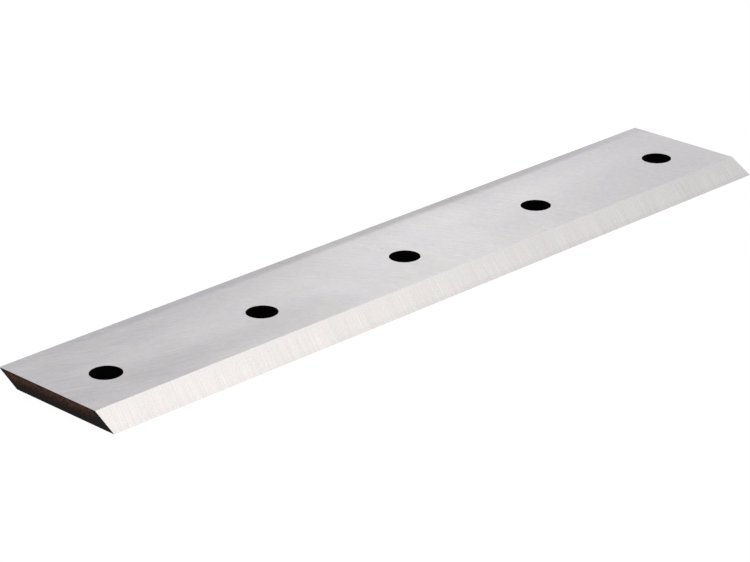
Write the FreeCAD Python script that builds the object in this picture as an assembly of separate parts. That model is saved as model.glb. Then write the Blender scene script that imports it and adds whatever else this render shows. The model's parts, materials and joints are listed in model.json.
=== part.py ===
"""Reversible chipper shredder blade: one flat bar of ground tool steel with two cutting edges.

The frame has +X along the blade, +Y across it and +Z up through its thickness. The origin is on the
axis of the middle bolt hole, in the bottom face on which the blade is seated.

The section is a parallelogram. The front bevel rises from the cutting edge at the front of the
bottom face, and the back bevel falls away under the cutting edge at the back of the top face.
Turned half a turn about its length, the blade looks the same and presents its second edge.
"""

import FreeCAD
import Part
import math
import os

# Driving sizes, in millimetres and degrees.
hole_count = 5
hole_pitch = 65.0
hole_diameter = 10.5  # clears an M10 bolt
rim_break = 0.1  # width and depth of the broken edge at each hole's two rims
end_margin = 20.0  # from the axis of the last bolt hole to the end of the blade

blade_width = 55.0  # from one cutting edge to the other
blade_thickness = 5.0
bevel_angle = 30.0  # between a bevel and the flat face that it meets at the cutting edge
edge_land = 0.1  # height of the honed land that keeps a cutting edge from being a feather

# Sizes that follow from them.
hole_row = hole_pitch * (hole_count - 1)  # from the first bolt hole's axis to the last one's
blade_length = hole_row + 2 * end_margin
bevel_run = (blade_thickness - edge_land) / math.tan(math.radians(bevel_angle))
half_width = blade_width / 2
hole_radius = hole_diameter / 2
rim_radius = hole_radius + rim_break


def section():
    """The blade's section at its left end, as a closed wire in the plane across its length."""
    outline = [
        (-half_width, 0),
        (half_width - bevel_run, 0),
        (half_width, blade_thickness - edge_land),
        (half_width, blade_thickness),
        (-half_width + bevel_run, blade_thickness),
        (-half_width, edge_land),
    ]
    points = [FreeCAD.Vector(-blade_length / 2, y, z) for y, z in outline]
    return Part.makePolygon(points + points[:1])


def bar():
    """The bar with its two bevels, cut square to length."""
    return Part.Face(section()).extrude(FreeCAD.Vector(blade_length, 0, 0))


def hole_centres():
    """Where each bolt hole stands along the blade, evenly spaced about its middle."""
    return [hole_pitch * i - hole_row / 2 for i in range(hole_count)]


def hole_tool(x):
    """One bolt hole with both rims broken, revolved about its own axis."""
    profile = [
        (0, 0),
        (rim_radius, 0),
        (hole_radius, rim_break),
        (hole_radius, blade_thickness - rim_break),
        (rim_radius, blade_thickness),
        (0, blade_thickness),
    ]
    points = [FreeCAD.Vector(x + r, 0, z) for r, z in profile]
    face = Part.Face(Part.makePolygon(points + points[:1]))
    return face.revolve(FreeCAD.Vector(x, 0, 0), FreeCAD.Vector(0, 0, 1), 360)


def chipper_blade():
    """The finished blade: the bevelled bar with its row of bolt holes."""
    return bar().cut([hole_tool(x) for x in hole_centres()])


os.makedirs("parts", exist_ok=True)
for name, shape in {"chipper_blade": chipper_blade()}.items():
    shape.exportStep("parts/" + name + ".step")
    state = "valid" if shape.isValid() else "not valid"
    print(name, state, len(shape.Solids), "solid", round(shape.Volume, 1), "mm3")
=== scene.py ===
"""A reversible chipper shredder blade of ground tool steel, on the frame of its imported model.

The blade lies flat on a pale floor, with its front bevel and the cutting edge below it towards the
camera. +X runs along the blade, +Y across it and +Z up. Blender's lengths are metres, so a value that
is written in millimetres is multiplied by MM. Patterns on the steel are worked out in millimetres.
"""

import json
import math

import bpy
from mathutils import Matrix, Vector


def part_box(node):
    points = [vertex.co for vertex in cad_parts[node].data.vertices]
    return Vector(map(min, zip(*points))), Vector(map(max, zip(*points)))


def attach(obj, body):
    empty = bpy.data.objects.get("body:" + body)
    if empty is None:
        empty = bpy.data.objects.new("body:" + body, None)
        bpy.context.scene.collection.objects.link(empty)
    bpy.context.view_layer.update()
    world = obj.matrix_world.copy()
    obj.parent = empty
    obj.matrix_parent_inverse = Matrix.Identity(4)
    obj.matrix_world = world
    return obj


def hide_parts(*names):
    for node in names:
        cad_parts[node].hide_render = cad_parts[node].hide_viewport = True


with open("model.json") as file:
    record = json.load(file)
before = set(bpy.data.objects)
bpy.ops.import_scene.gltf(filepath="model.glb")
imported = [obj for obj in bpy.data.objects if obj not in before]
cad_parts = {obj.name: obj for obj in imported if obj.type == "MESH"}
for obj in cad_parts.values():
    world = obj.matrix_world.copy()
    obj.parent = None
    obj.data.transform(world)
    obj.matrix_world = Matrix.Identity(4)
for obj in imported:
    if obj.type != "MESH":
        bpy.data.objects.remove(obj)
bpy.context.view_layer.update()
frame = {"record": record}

bl_info = {
    "name": "Chipper Shredder Blade",
    "version": (1, 0, 0),
    "blender": (4, 5, 0),
    "location": "3D View > Sidebar > Blade",
    "description": "Makes a ground reversible chipper blade and the stage that it is shown on",
    "category": "Object",
}

MM = 0.001
NODE = "chipper_blade"
LOW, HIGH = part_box(NODE)
BORES = sorted(
    (mount for mount in frame["record"]["mounts"] if mount["kind"] == "bore"),
    key=lambda mount: mount["pos_m"][0],
)
BORE_LENGTH = BORES[0]["dims"]["length_mm"] * MM

# Shape.
ROLL_STEPS = 5  # flats that the honed strip rolls off in
BORE_SIDES = 96
RIM_REACH = 1 * MM  # how far the hole cutters stand out of the blade
FLAT_TILT = 0.99  # a flat face or a cut end is where the normal's part that way is over this
STEEP_TILT = 0.8  # a bore's wall or rim is where the normal's upright part is under this
CREASE = math.radians(20)  # a bend that is sharper stays sharp

# The map that an export bakes into.
MAP_GAP = 1 * MM  # between two patches
MAP_STEP = 0.5 * MM  # by which its side grows until all patches fit in

# Marks on the steel, in millimetres. Each face is marked as the face that it turns into is.
WHEEL_CENTRE = (-186.0, -100.0)  # of the arcs that the wheel left on the flat faces
STROKE_CENTRE = (-50.0, 220.0)  # of the flatter arcs that it left near the left end
BEVEL_LEAN = math.tan(math.radians(17))  # of the lines on the bevels
GRIND_RELIEF = 0.002  # of the grinding lines on flats and bevels
SCRATCHES = (
    ((-4.4, 20.8), (0.6, 10.7)),
    ((-3.4, 16.4), (-0.9, 7.2)),
    ((5.9, -1.3), (9.9, -9.6)),
    ((20.9, 21.3), (25.9, 11.8)),
    ((31.5, 24.1), (33.6, 12.7)),
)
SPECKS = ((-0.3, 10.4), (-145.3, -12.6))
PATCHES = (  # x, y, half length, half width, how much lighter
    (-99, 5, 42, 11, 0.060),
    (-104, -10, 60, 8, -0.045),
    (-58, -11, 26, 15, -0.075),
    (-10, 24, 15, 13, 0.060),
    (27, 17, 34, 10, 0.050),
    (50, 25, 13, 6, -0.040),
    (112, 16, 60, 16, 0.032),
    (58, -7, 34, 14, -0.030),
)

# The camera.
AZIMUTH = math.radians(-44.202)
ELEVATION = math.radians(22.615)
ROLL = math.radians(-0.977)
AIM = Vector((-17.76, -3.75, 2.5)) * MM
DISTANCE = 966.2 * MM
LENS = 139.97  # millimetres
SENSOR = 36  # its width in millimetres

# The stage.
FLOOR_SIDES = 96
FLOOR_GLOW = 1.03  # strength of the floor's plain white
LAMPS = (  # name, face that glints, where in millimetres, distance and size in metres, strength, tint
    ("lamp_flat", "flat", (3, 0), 0.6, 0.18, 0.8, (1, 1, 0.98)),
    ("lamp_right", "flat", (235, 0), 0.6, 0.2, 0.28, (0.88, 0.88, 1)),
    ("lamp_bevel", "bevel", (-180, -23), 0.7, 0.5, 0.873, (1, 0.945, 0.865)),
)


def distance(name, about, default):
    """A length that a user may change, in metres."""
    return bpy.props.FloatProperty(
        name=name, description=about, default=default, min=0, precision=5, subtype="DISTANCE", unit="LENGTH"
    )


def colour(name, about, default):
    """A colour that a user may change, in linear light."""
    return bpy.props.FloatVectorProperty(
        name=name, description=about, default=default, min=0, max=1, size=3, subtype="COLOR"
    )


def amount(name, about, default):
    """A plain number from 0 that a user may change."""
    return bpy.props.FloatProperty(name=name, description=about, default=default, min=0, subtype="FACTOR")


class BladeSizes(bpy.types.PropertyGroup):
    """Sizes of the blade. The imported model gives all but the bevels' angle and the edges' sizes."""

    length: distance("Length", "From one cut end to the other", HIGH.x - LOW.x)
    width: distance("Width", "From one cutting edge to the other", HIGH.y - LOW.y)
    thickness: distance("Thickness", "Between the two flat faces", HIGH.z - LOW.z)
    bevel_angle: bpy.props.FloatProperty(
        name="Bevel Angle",
        description="Between a bevel and the flat face that it meets at the cutting edge",
        default=math.radians(30),
        subtype="ANGLE",
        unit="ROTATION",
    )
    edge_land: distance("Edge Land", "Height of the land on a cutting edge", 0.1 * MM)
    honed_width: distance("Honed Width", "Of the strip that is honed along a cutting edge", 6 * MM)
    honed_drop: distance("Honed Drop", "How far that strip rolls off at the edge", 0.06 * MM)
    hole_count: bpy.props.IntProperty(
        name="Hole Count", description="Bolt holes in the row", default=len(BORES), min=1
    )
    hole_pitch: distance(
        "Hole Pitch", "From one bolt hole to the next", BORES[1]["pos_m"][0] - BORES[0]["pos_m"][0]
    )
    hole_radius: distance("Hole Radius", "Of a bolt hole", BORES[0]["dims"]["r_mm"] * MM)
    rim_break: distance(
        "Rim Break", "Width and depth of a hole's broken rim", (HIGH.z - LOW.z - BORE_LENGTH) / 2
    )


class BladeFinish(bpy.types.PropertyGroup):
    """Colours of the blade's surfaces."""

    flat: colour("Flat Steel", "Ground flat faces", (0.490, 0.474, 0.504))
    flat_warm: colour("Warm Flat Steel", "Warmer clouds on them", (0.502, 0.485, 0.487))
    # Bevel Steel is lighter than Flat Steel, though both are the same steel: painted light.
    bevel: colour("Bevel Steel", "Ground bevels", (0.566, 0.561, 0.563))
    bevel_warm: colour("Warm Bevel Steel", "Pinker clouds on them", (0.576, 0.554, 0.561))
    rust: colour("Rust", "Brown skin on the cut ends", (0.067, 0.031, 0.019))
    scale: colour("Scale", "Charcoal skin on the cut ends", (0.0150, 0.0118, 0.0110))
    # Near black: partly the scale's own colour, partly painted shade in the bolt holes.
    bore: colour("Bore Scale", "Black skin in the bolt holes", (0.0014, 0.0013, 0.0012))
    rim: colour("Worn Rim", "Of the bolt holes, where the black skin is thin", (0.04, 0.038, 0.037))


class BladeStage(bpy.types.PropertyGroup):
    """The floor and the light."""

    floor_radius: distance("Floor Radius", "Of the round floor", 4.0)
    floor_gap: distance("Floor Gap", "Between the blade and the floor", 0.03 * MM)
    floor: colour("Floor", "Of the floor in plain light", (0.8, 0.8, 0.8))
    floor_white: amount("Floor White", "Share of the floor's look that is plain white", 0.93)
    sky: amount("Sky Light", "Strength of the light that comes from all round", 0.8)


class Wire:
    """An output of a node. Arithmetic on it adds the Math nodes of the expression to its tree."""

    def __init__(self, drawing, socket):
        self.drawing = drawing
        self.socket = socket

    def other(self, name):
        """Another output of the same node."""
        return Wire(self.drawing, self.socket.node.outputs[name])

    def __add__(self, value):
        return self.drawing.math("ADD", self, value)

    def __radd__(self, value):
        return self.drawing.math("ADD", value, self)

    def __sub__(self, value):
        return self.drawing.math("SUBTRACT", self, value)

    def __rsub__(self, value):
        return self.drawing.math("SUBTRACT", value, self)

    def __mul__(self, value):
        return self.drawing.math("MULTIPLY", self, value)

    def __rmul__(self, value):
        return self.drawing.math("MULTIPLY", value, self)

    def __truediv__(self, value):
        return self.drawing.math("DIVIDE", self, value)

    def __pow__(self, value):
        return self.drawing.math("POWER", self, value)

    def __neg__(self):
        return self.drawing.math("MULTIPLY", self, -1)

    def __abs__(self):
        return self.drawing.math("ABSOLUTE", self)

    def __lt__(self, value):
        return self.drawing.math("LESS_THAN", self, value)

    def __gt__(self, value):
        return self.drawing.math("GREATER_THAN", self, value)


class Drawing:
    """A node tree while it is drawn: a material's, the world's or a shape's."""

    def __init__(self, tree):
        self.tree = tree
        self.tree.nodes.clear()

    def node(self, kind, settings=None, values=None, out=0):
        """Adds a node: its settings first, then the values or links of its sockets."""
        made = self.tree.nodes.new(kind)
        for name, value in (settings or {}).items():
            if name == "cases":
                made.index_switch_items.clear()
                for _ in range(value):
                    made.index_switch_items.new()
            else:
                setattr(made, name, value)
        for name, value in (values or {}).items():
            self.feed(made.inputs[name], value)
        return Wire(self, made.outputs[out]) if made.outputs else made

    def feed(self, socket, value):
        """Gives a socket its link or its value. A colour's alpha is 1."""
        if isinstance(value, Wire):
            self.tree.links.new(value.socket, socket)
        elif socket.type == "RGBA":
            socket.default_value = (*value, 1)
        else:
            socket.default_value = value

    def math(self, operation, *values):
        return self.node("ShaderNodeMath", {"operation": operation}, dict(enumerate(values)))

    def vector(self, x, y, z=0):
        return self.node("ShaderNodeCombineXYZ", {}, {"X": x, "Y": y, "Z": z})

    def parts(self, vector):
        """The three numbers of a vector."""
        x = self.node("ShaderNodeSeparateXYZ", {}, {"Vector": vector})
        return x, x.other("Y"), x.other("Z")

    def rise(self, value, low, high):
        """0 up to low and 1 from high, with a smooth way between them."""
        ends = {"Value": value, "From Min": low, "From Max": high}
        return self.node("ShaderNodeMapRange", {"interpolation_type": "SMOOTHSTEP"}, ends)

    def band(self, value, low, high, blur):
        """1 from low to high and 0 outside, over a way of length blur."""
        return self.rise(value, low - blur, low) * (1 - self.rise(value, high, high + blur))

    def noise(self, x, y, z=0, detail=2):
        """Noise from 0 to 1 about a half. Its grains are about one unit of x, y and z."""
        values = {"Vector": self.vector(x, y, z), "Scale": 1, "Detail": detail, "Roughness": 0.5}
        return self.node("ShaderNodeTexNoise", {}, values)

    def shade(self, colour, factor):
        """A colour made lighter or darker by a number."""
        return self.node("ShaderNodeVectorMath", {"operation": "SCALE"}, {0: colour, "Scale": factor})

    def mix(self, factor, first, second):
        """A colour between two others."""
        return self.node("ShaderNodeMix", {"data_type": "RGBA"}, {0: factor, 6: first, 7: second}, 2)


class Finish(Drawing):
    """The nodes of one surface finish. x, y and z are the place on the blade, in millimetres."""

    def __init__(self, name):
        self.material = bpy.data.materials.new(name)
        self.material.use_nodes = True
        super().__init__(self.material.node_tree)
        place = self.node("ShaderNodeTexCoord", out="Object")
        scaled = self.node("ShaderNodeVectorMath", {"operation": "SCALE"}, {0: place, "Scale": 1 / MM})
        self.x, self.y, self.z = self.parts(scaled)

    def polar(self, across, centre):
        """How far the place is from a centre, and the bearing of it from there."""
        off_x = self.x - centre[0]
        off_y = across - centre[1]
        return (off_x * off_x + off_y * off_y) ** 0.5, self.math("ARCTAN2", off_y, off_x)

    def patches(self, ovals):
        """Soft oval patches, each as strong as its last number says in its middle."""
        mask = 0
        for x, y, half_length, half_width, strength in ovals:
            along = (self.x - x) / half_length
            off = (self.y - y) / half_width
            mask = mask + strength * (1 - self.rise(along * along + off * off, 0, 1))
        return mask

    def specks(self, spots, radius):
        """1 in small round spots."""
        mask = 0
        for x, y in spots:
            off = ((self.x - x) * (self.x - x) + (self.y - y) * (self.y - y)) ** 0.5
            mask = mask + (1 - self.rise(off, radius * 0.4, radius))
        return mask

    def scratches(self, marks, half_width):
        """1 along the middle of straight scratches that fade towards their two ends."""
        mask = 0
        for (x0, y0), (x1, y1) in marks:
            long = math.hypot(x1 - x0, y1 - y0)
            go_x, go_y = (x1 - x0) / long, (y1 - y0) / long
            along = (self.x - x0) * go_x + (self.y - y0) * go_y
            off = abs((self.x - x0) * go_y - (self.y - y0) * go_x)
            inner = self.band(along, long * 0.3, long * 0.7, long * 0.3)
            mask = mask + inner * (1 - self.rise(off, 0, 2 * half_width))
        return mask

    def finish(self, base, roughness, height, relief, metallic, specular=0.5):
        """Ends the tree with a surface whose relief, in millimetres, is that of height 1."""
        bump = self.node("ShaderNodeBump", {}, {"Height": height, "Distance": relief * MM})
        values = {
            "Base Color": base,
            "Roughness": roughness,
            "Metallic": metallic,
            "Specular IOR Level": specular,
            "Normal": bump,
        }
        surface = self.node("ShaderNodeBsdfPrincipled", {}, values)
        self.node("ShaderNodeOutputMaterial", {}, {"Surface": surface})
        return self.material


def ground_flat(sizes, colours):
    """The flat faces: a wheel's wide arcs, and a matt honed strip along the cutting edge, whose darker
    colour is partly its finish and partly painted shade.
    """
    steel = Finish("ground_flat")
    top = steel.z > sizes.thickness / 2 / MM
    across = steel.y * (2 * top - 1)
    radius, turn = steel.polar(across, WHEEL_CENTRE)
    fine = steel.noise(radius / 0.35, turn * 20, top, detail=1)
    lines = steel.noise(radius / 1.0, turn * 13, top, detail=2)
    swathes = steel.noise(radius / 7, turn * 6, top, detail=2)
    arcs = 0.30 * (fine - 0.5) + 0.08 * (lines - 0.5) + 0.03 * (swathes - 0.5)
    radius, turn = steel.polar(across, STROKE_CENTRE)
    strokes = steel.noise(radius / 0.45, turn * 19, top, detail=2)
    smudges = steel.noise(radius / 7, turn * 8, top, detail=2)
    flatter = 0.47 * (strokes - 0.5) + 0.18 * (smudges - 0.5)
    left = 1 - steel.rise(steel.x, -112, -52)
    right = steel.rise(steel.x, 40, 110)
    clouds = steel.noise(steel.x / 34, across / 17, top, detail=2)
    mottle = steel.noise(steel.x / 1.8, across / 2.2, top, detail=1)
    grain = steel.noise(steel.x / 0.6, across / 0.6, top, detail=1)
    crisp = steel.band(steel.x, 20, 55, 35)
    tone = 1 + (1.4 - 0.8 * clouds - 0.75 * left - 0.4 * right + 0.35 * crisp) * arcs + left * flatter
    tone = tone + 0.07 * (clouds - 0.5) + (0.12 + 0.03 * crisp + 0.07 * right) * (mottle - 0.5)
    tone = tone + (0.15 + 0.05 * crisp) * (grain - 0.5)
    tone = tone + top * steel.patches(PATCHES)
    middle = steel.band(steel.x, -32, 70, 34)
    inward = sizes.width / 2 / MM - across + 0.3 * steel.band(steel.x, 8, 45, 25)
    honed = 0.8 * (1 - steel.rise(inward, 2.4, 5.6)) + 0.2 * (1 - steel.rise(inward, 5, 18))
    worn = steel.rise(steel.x, -150, -105) * (1 - steel.rise(steel.x, 122, 172))
    # The honed strip is darkened, most in the middle of the length: partly its matt finish, partly painted
    # shade.
    strip_dulling_and_shade = 0.05 + 0.055 * steel.band(steel.x, -35, 105, 33)
    tone = tone * (1 - strip_dulling_and_shade * honed * worn)
    tone = tone + 0.13 * top * steel.scratches(SCRATCHES, 0.15)
    tone = tone * (1 - 0.3 * top * steel.specks(SPECKS, 0.5))
    hue = steel.noise(steel.x / 11, across / 8, top, detail=2) + 0.10 * steel.band(steel.x, -70, 40, 70)
    hue = 0.2 + 0.6 * steel.rise(hue + 0.3 * left * (smudges - 0.5), 0.40, 0.66)
    hue = hue * (1 - honed * worn) + 0.5 * middle * honed
    base = steel.shade(steel.mix(hue, tuple(colours.flat), tuple(colours.flat_warm)), tone)
    roughness = 0.38 + 0.08 * (lines - 0.5) + 0.08 * (swathes - 0.5) + 0.22 * honed * worn
    return steel.finish(base, roughness, fine + 0.8 * lines, GRIND_RELIEF, 1)


def ground_bevel(sizes, colours):
    """The bevels: straight lines across, leaning a little, from the wheel that ground the edge."""
    steel = Finish("ground_bevel")
    run = (sizes.thickness - sizes.edge_land) / math.tan(sizes.bevel_angle)
    top = (sizes.width / 2 - run) / MM
    front = steel.y < 0
    down = (abs(steel.y) - top) / math.cos(sizes.bevel_angle)
    line = steel.x + BEVEL_LEAN * down
    fine = steel.noise(line / 0.38, down / 18, front, detail=1)
    lines = steel.noise(line / 1.0, down / 12, front, detail=2)
    swathes = steel.noise(line / 8, down / 30, front, detail=2)
    bright = steel.rise(steel.noise(line / 0.5, down / 30, front * 9, detail=1), 0.62, 0.72)
    grain = steel.noise(steel.x / 0.4, down / 0.7, front, detail=1)
    right = steel.rise(steel.x, -20, 80)
    tone = 1 + (0.26 + 0.05 * right) * (fine - 0.5) + 0.08 * (lines - 0.5) + 0.08 * (swathes - 0.5)
    tone = tone + 0.09 * bright + 0.29 * (grain - 0.5) + 0.03 * steel.band(steel.x, 70, 95, 32)
    edge = sizes.width / 2 / MM
    # Painted shade: the bevel darkens towards its cutting edge, where it meets the floor, more so to the
    # right.
    painted_edge_shade = steel.rise(abs(steel.y), edge - 2.2, edge - 0.8)
    # The land along the cutting edge is made lighter: a painted glint.
    land = abs(steel.y) > edge - 0.01
    painted_edge_shade = painted_edge_shade * (0.015 + 0.032 * steel.rise(steel.x, -120, 20))
    tone = tone * (1 - painted_edge_shade + 0.25 * land)
    hue = steel.rise(steel.noise(line / 4, down / 4, front, detail=2), 0.40, 0.64)
    base = steel.shade(steel.mix(hue, tuple(colours.bevel), tuple(colours.bevel_warm)), tone)
    roughness = 0.40 + 0.12 * (lines - 0.5)
    return steel.finish(base, roughness, fine + 0.8 * lines, GRIND_RELIEF, 1)


def bore_scale_and_shade(sizes, colours):
    """The holes' walls and rims: near black, partly black scale and partly painted shade, over faint rings
    of the drill, worn thin on the rims.
    """
    scale = Finish("bore_scale_and_shade")
    rings = scale.noise(scale.x / 9, scale.y / 9, scale.z / 0.25, detail=1)
    patches = scale.noise(scale.x / 1.5, scale.y / 1.5, scale.z / 1.5)
    black = scale.shade(tuple(colours.bore), 0.6 + 0.8 * patches)
    middle = sizes.thickness / 2 / MM
    worn = scale.rise(abs(scale.z - middle), middle - sizes.rim_break / MM, middle)
    base = scale.mix(worn, black, tuple(colours.rim))
    return scale.finish(base, 0.75 + 0.2 * patches, rings, 0.01, 0, specular=0.02)


def scaled_end(sizes, colours):
    """The cut ends: rust brown above, charcoal scale below and towards the two acute edges."""
    scale = Finish("scaled_end")
    thickness = sizes.thickness / MM
    end = scale.x / 50  # sets the patterns of the two ends apart
    wave = scale.noise(scale.y / 6, end, detail=2)
    drag = scale.noise((scale.y + scale.z * 0.9) / 1.1, scale.z / 2.2, end, detail=3)
    grain = scale.noise(scale.y / 0.45, scale.z / 0.45, end, detail=2)
    level = scale.z / thickness + 0.35 * (wave - 0.5) + 0.4 * (drag - 0.5)
    brown = scale.rise(level, 0.34, 0.86)
    inner = scale.rise(scale.y, -21, -14) * (1 - scale.rise(scale.y, 22.5, 26.5))
    patches = scale.rise(scale.noise(scale.y / 1.3, scale.z / 1.3, end + 5, detail=3), 0.32, 0.68)
    rust = scale.shade(tuple(colours.rust), 0.35 + 0.4 * scale.rise(drag, 0.3, 0.7) + 0.75 * patches)
    char = scale.shade(tuple(colours.scale), 2.2 * scale.rise(grain, 0.2, 0.95) + 0.2)
    base = scale.mix(brown * inner, char, rust)
    # Painted shade: the end is darker just under its top edge.
    painted_top_edge_shade = scale.rise(scale.z, thickness - 0.7, thickness - 0.1)
    base = scale.shade(base, 1 - 0.55 * painted_top_edge_shade)
    return scale.finish(base, 0.78 + 0.2 * (grain - 0.5), drag + 0.6 * grain, 0.06, 0, specular=0.06)


class Shape(Drawing):
    """The geometry nodes of one shape, with its sizes as named inputs."""

    def __init__(self, name, sizes):
        self.group = bpy.data.node_groups.new(name, "GeometryNodeTree")
        super().__init__(self.group)
        for title, kind in sizes.items():
            self.group.interface.new_socket(name=title, in_out="INPUT", socket_type=kind)
        self.group.interface.new_socket(
            name="Geometry", in_out="OUTPUT", socket_type="NodeSocketGeometry"
        )
        self.size = self.node("NodeGroupInput")

    def given(self, title):
        return self.size.other(title)

    def row(self, count, start, step):
        """Points in a straight row."""
        values = {"Count": count, "Start Location": start, "Offset": step}
        return self.node("GeometryNodeMeshLine", {"mode": "OFFSET"}, values)

    def moved(self, geometry, position):
        return self.node("GeometryNodeSetPosition", {}, {"Geometry": geometry, "Position": position})

    def dressed(self, geometry, material, chosen=True):
        values = {"Geometry": geometry, "Selection": chosen, "Material": material}
        return self.node("GeometryNodeSetMaterial", {}, values)


def section_points(shape):
    """Half of the section's corners, from a cutting edge up its bevel and across to the other edge."""
    half_width = shape.given("Width") / 2
    thickness = shape.given("Thickness")
    land = shape.given("Edge Land")
    run = (thickness - land) / shape.math("TANGENT", shape.given("Bevel Angle"))
    points = [(-half_width, land), (run - half_width, thickness)]
    for step in range(ROLL_STEPS + 1):
        share = step / ROLL_STEPS
        y = half_width - shape.given("Honed Width") * (1 - share)
        points.append((y, thickness - shape.given("Honed Drop") * share**2))
    return points


def swept_bar(shape):
    """The section, closed by its own half turn, along a path with one panel for each bolt hole."""
    half = section_points(shape)
    turned = [(-y, shape.given("Thickness") - z) for y, z in half]
    corners = half + turned
    index = shape.node("GeometryNodeInputIndex")
    cases = {0: index}
    for number, (y, z) in enumerate(corners):
        cases[number + 1] = shape.vector(-y, -z)
    settings = {"data_type": "VECTOR", "cases": len(corners)}
    corner = shape.node("GeometryNodeIndexSwitch", settings, cases)
    outline = shape.moved(shape.row(len(corners), (0, 0, 0), (1, 0, 0)), corner)
    outline = shape.node("GeometryNodeMeshToCurve", {}, {"Mesh": outline})
    outline = shape.node("GeometryNodeSetSplineCyclic", {}, {"Geometry": outline, "Cyclic": True})
    count = shape.given("Hole Count")
    reach = shape.given("Length") / 2
    seam = (index - count / 2) * shape.given("Hole Pitch")
    seam = shape.math("MAXIMUM", -reach, shape.math("MINIMUM", reach, seam))
    path = shape.moved(shape.row(count + 1, (0, 0, 0), (1, 0, 0)), shape.vector(seam, 0, 0))
    path = shape.node("GeometryNodeMeshToCurve", {}, {"Mesh": path})
    values = {"Curve": path, "Profile Curve": outline, "Fill Caps": True}
    return shape.node("GeometryNodeCurveToMesh", {}, values)


def hole_cutters(shape):
    """One cutter for each bolt hole: a round bar that flares by 45 degrees at the blade's two faces."""
    rim = shape.given("Rim Break")
    flare = rim + RIM_REACH
    # A bar with rings at heights of 0.5 and 1.5 either way, of which the outer two are flared.
    values = {"Vertices": BORE_SIDES, "Side Segments": 3, "Radius": 1, "Depth": 3}
    cutter = shape.node("GeometryNodeMeshCylinder", {"fill_type": "NGON"}, values)
    x, y, level = shape.parts(shape.node("GeometryNodeInputPosition"))
    outer = abs(level) > 1
    radius = shape.given("Hole Radius") + outer * flare
    half = shape.given("Thickness") / 2
    away = half - rim + outer * flare
    height = half + shape.math("SIGN", level) * away
    cutter = shape.moved(cutter, shape.vector(x * radius, y * radius, height))
    pitch = shape.given("Hole Pitch")
    count = shape.given("Hole Count")
    start = shape.vector((1 - count) / 2 * pitch, 0, 0)
    row = shape.row(count, start, shape.vector(pitch, 0, 0))
    return shape.node("GeometryNodeInstanceOnPoints", {}, {"Points": row, "Instance": cutter})


def near_a_bore(shape, x, y):
    """Whether a place is inside one of the holes' rims, seen from above."""
    pitch = shape.given("Hole Pitch")
    shift = (shape.given("Hole Count") - 1) / 2 * pitch
    number = shape.math("ROUND", (x + shift) / pitch)
    off = x + shift - number * pitch
    away = (off * off + y * y) ** 0.5
    return away < shape.given("Hole Radius") + shape.given("Rim Break")


def blade_shape(materials):
    """The whole blade, from its named sizes."""
    sizes = {}
    for title in SIZE_INPUTS:
        sizes[title] = "NodeSocketInt" if title == "Hole Count" else "NodeSocketFloat"
    shape = Shape("chipper_blade_shape", sizes)
    values = {"Mesh 1": swept_bar(shape), "Mesh 2": hole_cutters(shape)}
    settings = {"operation": "DIFFERENCE", "solver": "EXACT"}
    blade = shape.node("GeometryNodeMeshBoolean", settings, values)
    x, y, _ = shape.parts(shape.node("GeometryNodeInputPosition"))
    along, _, up = shape.parts(shape.node("GeometryNodeInputNormal"))
    upright = abs(up)
    bore = near_a_bore(shape, x, y) * (upright < STEEP_TILT)
    blade = shape.node(
        "GeometryNodeSetShadeSmooth", {"domain": "FACE"}, {"Geometry": blade, "Shade Smooth": bore}
    )
    bend = shape.node("GeometryNodeInputMeshEdgeAngle")
    values = {"Geometry": blade, "Selection": bend > CREASE, "Shade Smooth": False}
    blade = shape.node("GeometryNodeSetShadeSmooth", {"domain": "EDGE"}, values)
    blade = shape.node("GeometryNodeRealizeInstances", {}, {"Geometry": blade})
    blade = shape.dressed(blade, materials["flat"])
    blade = shape.dressed(blade, materials["bevel"], upright < FLAT_TILT)
    blade = shape.dressed(blade, materials["end"], abs(along) > FLAT_TILT)
    blade = shape.dressed(blade, materials["bore"], bore)
    shape.node("NodeGroupOutput", {}, {"Geometry": blade})
    return shape.group


SIZE_INPUTS = {
    "Length": "length",
    "Width": "width",
    "Thickness": "thickness",
    "Bevel Angle": "bevel_angle",
    "Edge Land": "edge_land",
    "Honed Width": "honed_width",
    "Honed Drop": "honed_drop",
    "Hole Count": "hole_count",
    "Hole Pitch": "hole_pitch",
    "Hole Radius": "hole_radius",
    "Rim Break": "rim_break",
}


def grow(piece, group, sizes):
    """Runs a shape's nodes on an object with the given sizes, and keeps the plain mesh."""
    modifier = piece.modifiers.new("shape", "NODES")
    modifier.node_group = group
    for item in group.interface.items_tree:
        if item.in_out == "INPUT":
            modifier[item.identifier] = getattr(sizes, SIZE_INPUTS[item.name])
    graph = bpy.context.evaluated_depsgraph_get()
    mesh = bpy.data.meshes.new_from_object(piece.evaluated_get(graph), depsgraph=graph)
    piece.modifiers.clear()
    piece.data = mesh


class BLADE_OT_make(bpy.types.Operator):
    """Makes the blade, ground on its flats and bevels, scaled on its ends, and black with scale and painted
    shade in its bolt holes
    """

    bl_idname = "chipper.make_blade"
    bl_label = "Make Blade"

    def execute(self, context):
        sizes = context.scene.blade_sizes
        colours = context.scene.blade_finish
        materials = {
            "flat": ground_flat(sizes, colours),
            "bevel": ground_bevel(sizes, colours),
            "end": scaled_end(sizes, colours),
            "bore": bore_scale_and_shade(sizes, colours),
        }
        piece = bpy.data.objects.new("reversible_blade", bpy.data.meshes.new("reversible_blade"))
        context.scene.collection.objects.link(piece)
        grow(piece, blade_shape(materials), sizes)
        if not piece.data.polygons:
            raise RuntimeError("the blade's nodes made no mesh")
        lay_out(piece.data, sizes)
        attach(piece, "root")
        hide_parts(NODE)
        return {"FINISHED"}


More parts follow.
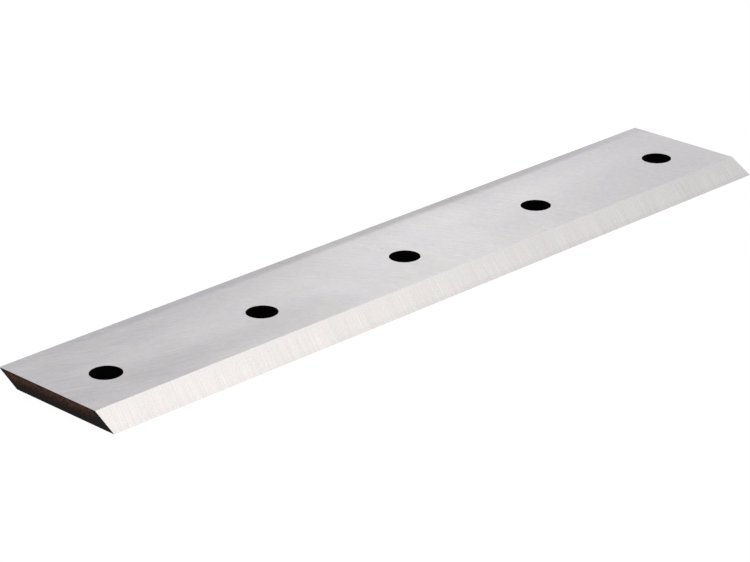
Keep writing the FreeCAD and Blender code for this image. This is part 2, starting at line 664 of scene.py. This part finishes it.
def unfolded(mesh, face, sizes):
    """The name of the flat patch that a face belongs to, and its corners' places there, in metres."""
    corners = [mesh.vertices[number].co for number in face.vertices]
    normal = face.normal
    middle = sum(corners, Vector()) / len(corners)
    panel = round(middle.x / sizes.hole_pitch)
    axis = panel * sizes.hole_pitch
    rim = sizes.hole_radius + sizes.rim_break
    if math.hypot(middle.x - axis, middle.y) < rim and abs(normal.z) < STEEP_TILT:
        bearing = math.atan2(middle.y, middle.x - axis)
        places = []
        for corner in corners:
            off = math.atan2(corner.y, corner.x - axis) - bearing
            off = math.remainder(off, math.tau)
            slope = (math.hypot(corner.x - axis, corner.y) - sizes.hole_radius) * math.sqrt(0.5)
            side = math.copysign(1, corner.z - sizes.thickness / 2)
            places.append((-(bearing + off) * sizes.hole_radius, corner.z + side * slope))
        return ("bore", panel), places
    if abs(normal.x) > FLAT_TILT:
        return ("end", normal.x > 0), [(normal.x * c.y, c.z) for c in corners]
    if abs(normal.z) > FLAT_TILT:
        side = math.copysign(1, normal.z)
        return ("flat", normal.z > 0, panel > 0), [(c.x, side * c.y) for c in corners]
    cosine, sine = math.cos(sizes.bevel_angle), math.sin(sizes.bevel_angle)
    side = -math.copysign(1, normal.y)
    return ("bevel", side, panel), [(c.x, side * (c.y * cosine + c.z * sine)) for c in corners]


def fitted(patches, side, gap):
    """Places for patches of the given sizes in a square, or None. A place is x, y and whether turned."""
    free = [(0.0, 0.0, side, side)]
    places = {}
    for name, (wide, high) in sorted(patches.items(), key=lambda item: -item[1][0] * item[1][1]):
        tries = []
        for room in free:
            for turned in (False, True):
                w, h = (high, wide) if turned else (wide, high)
                spare = room[2] - w - gap, room[3] - h - gap
                if min(spare) >= 0:
                    tries.append((min(spare), room, w + gap, h + gap, turned))
        if not tries:
            return None
        _, room, w, h, turned = min(tries)
        free.remove(room)
        x, y, across, up = room
        places[name] = (x + gap / 2, y + gap / 2, turned)
        if across - w < up - h:
            free += [(x + w, y, across - w, h), (x, y + h, across, up - h)]
        else:
            free += [(x + w, y, across - w, up), (x, y + h, w, up - h)]
    return places


def lay_out(mesh, sizes):
    """Gives the mesh a map at one scale all over, for an export to bake into."""
    patches = {}
    for face in mesh.polygons:
        name, places = unfolded(mesh, face, sizes)
        patches.setdefault(name, []).append((face, places))
    corner, spans = {}, {}
    for name, faces in patches.items():
        us = [u for face, places in faces for u, v in places]
        vs = [v for face, places in faces for u, v in places]
        corner[name] = (min(us), min(vs))
        spans[name] = (max(us) - min(us), max(vs) - min(vs))
    side = sizes.length / 2
    places_of = None
    while places_of is None:
        side = side + MAP_STEP
        places_of = fitted(spans, side, MAP_GAP)
    layer = mesh.uv_layers.new(name="OFBake")
    for name, faces in patches.items():
        x, y, turned = places_of[name]
        for face, places in faces:
            for loop, (u, v) in zip(face.loop_indices, places):
                u, v = u - corner[name][0], v - corner[name][1]
                if turned:
                    u, v = spans[name][1] - v, u
                layer.data[loop].uv = ((x + u) / side, (y + v) / side)


def mirrored(spot, normal, far):
    """Where the camera sees a lamp glint on a face at the spot: a place so far along that ray."""
    ray = spot - camera_place()
    out = ray.normalized().reflect(normal)
    return spot + out * far


def camera_place():
    """Where the camera stands."""
    level = math.cos(ELEVATION)
    back = Vector((math.sin(AZIMUTH) * level, -math.cos(AZIMUTH) * level, math.sin(ELEVATION)))
    return AIM + back * DISTANCE


def lamp(name, place, aim, size, strength, tint):
    """A square lamp of plain strength, turned to where it lights. It isn't seen itself."""
    data = bpy.data.lights.new(name, "AREA")
    data.shape = "SQUARE"
    data.size = size
    data.energy = strength * math.pi * size**2
    data.color = tint
    made = bpy.data.objects.new(name, data)
    turn = (place - aim).to_track_quat("Z", "Y")
    made.matrix_world = Matrix.Translation(place) @ turn.to_matrix().to_4x4()
    made.visible_camera = False
    bpy.context.scene.collection.objects.link(made)


def seen_plainly(drawing):
    """1 for the rays that show the background: to the camera, in gloss and through glass."""
    path = drawing.node("ShaderNodeLightPath", out="Is Camera Ray")
    shown = path + path.other("Is Glossy Ray") + path.other("Is Transmission Ray")
    return drawing.math("MINIMUM", shown, 1)


def make_floor(stage):
    """The round floor: white to the camera, apart from the blade's faint shadow."""
    material = bpy.data.materials.new("pale_floor")
    material.use_nodes = True
    paint = Drawing(material.node_tree)
    plain = paint.node("ShaderNodeBsdfDiffuse", {}, {"Color": tuple(stage.floor)})
    white = paint.node("ShaderNodeEmission", {}, {"Color": (1, 1, 1), "Strength": FLOOR_GLOW})
    share = seen_plainly(paint) * stage.floor_white
    look = paint.node("ShaderNodeMixShader", {}, {0: share, 1: plain, 2: white})
    paint.node("ShaderNodeOutputMaterial", {}, {"Surface": look})
    radius = stage.floor_radius
    ring = []
    for number in range(FLOOR_SIDES):
        turn = math.tau * number / FLOOR_SIDES
        ring.append((radius * math.cos(turn), radius * math.sin(turn), -stage.floor_gap))
    mesh = bpy.data.meshes.new("floor")
    mesh.from_pydata(ring, [], [range(FLOOR_SIDES)])
    mesh.materials.append(material)
    floor = bpy.data.objects.new("floor", mesh)
    bpy.context.scene.collection.objects.link(floor)


def make_sky(stage):
    """The world: white where it is seen, and the stage's sky light where it only lights."""
    world = bpy.data.worlds.new("sky")
    world.use_nodes = True
    paint = Drawing(world.node_tree)
    strength = stage.sky + (1 - stage.sky) * seen_plainly(paint)
    light = paint.node("ShaderNodeBackground", {}, {"Color": (1, 1, 1), "Strength": strength})
    paint.node("ShaderNodeOutputWorld", {}, {"Surface": light})
    bpy.context.scene.world = world


def make_camera():
    """The camera, aimed at its point and then rolled a little."""
    back = (camera_place() - AIM).normalized()
    right = Vector((math.cos(AZIMUTH), math.sin(AZIMUTH), 0))
    upright = Matrix((right, back.cross(right), back)).transposed()
    turn = upright @ Matrix.Rotation(ROLL, 3, "Z")
    data = bpy.data.cameras.new("camera")
    data.lens = LENS
    data.sensor_width = SENSOR
    data.clip_start = 0.01
    camera = bpy.data.objects.new("camera", data)
    camera.matrix_world = Matrix.Translation(camera_place()) @ turn.to_4x4()
    bpy.context.scene.collection.objects.link(camera)
    bpy.context.scene.camera = camera


class BLADE_OT_stage(bpy.types.Operator):
    """Makes the floor, the sky, the lamps and the camera"""

    bl_idname = "chipper.set_stage"
    bl_label = "Set Stage"

    def execute(self, context):
        stage = context.scene.blade_stage
        sizes = context.scene.blade_sizes
        make_floor(stage)
        make_sky(stage)
        make_camera()
        tilt = sizes.bevel_angle
        faces = {  # the normal of each, and the height of what glints on it
            "flat": (Vector((0, 0, 1)), sizes.thickness),
            "bevel": (Vector((0, -math.sin(tilt), math.cos(tilt))), sizes.thickness / 2),
        }
        for name, face, (x, y), far, size, strength, tint in LAMPS:
            normal, height = faces[face]
            spot = Vector((x * MM, y * MM, height))
            lamp(name, mirrored(spot, normal, far), spot, size, strength, tint)
        context.scene.view_settings.view_transform = "Standard"
        return {"FINISHED"}


class BLADE_PT_panel(bpy.types.Panel):
    """The blade's sizes and colours, and the steps that make it"""

    bl_idname = "BLADE_PT_panel"
    bl_label = "Chipper Blade"
    bl_space_type = "VIEW_3D"
    bl_region_type = "UI"
    bl_category = "Blade"

    def draw(self, context):
        for group in (context.scene.blade_sizes, context.scene.blade_finish, context.scene.blade_stage):
            box = self.layout.box()
            for name in group.__annotations__:
                box.prop(group, name)
        for step in STEPS:
            self.layout.operator(step.bl_idname)


GROUPS = {"blade_sizes": BladeSizes, "blade_finish": BladeFinish, "blade_stage": BladeStage}
STEPS = (BLADE_OT_make, BLADE_OT_stage)


def register():
    for name, group in GROUPS.items():
        bpy.utils.register_class(group)
        setattr(bpy.types.Scene, name, bpy.props.PointerProperty(type=group))
    for step in STEPS:
        bpy.utils.register_class(step)
    bpy.utils.register_class(BLADE_PT_panel)


def unregister():
    bpy.utils.unregister_class(BLADE_PT_panel)
    for step in reversed(STEPS):
        bpy.utils.unregister_class(step)
    for name, group in reversed(GROUPS.items()):
        delattr(bpy.types.Scene, name)
        bpy.utils.unregister_class(group)


def main():
    """Makes the blade and its stage."""
    register()
    bpy.ops.chipper.make_blade()
    bpy.ops.chipper.set_stage()


if __name__ == "__main__":
    main()
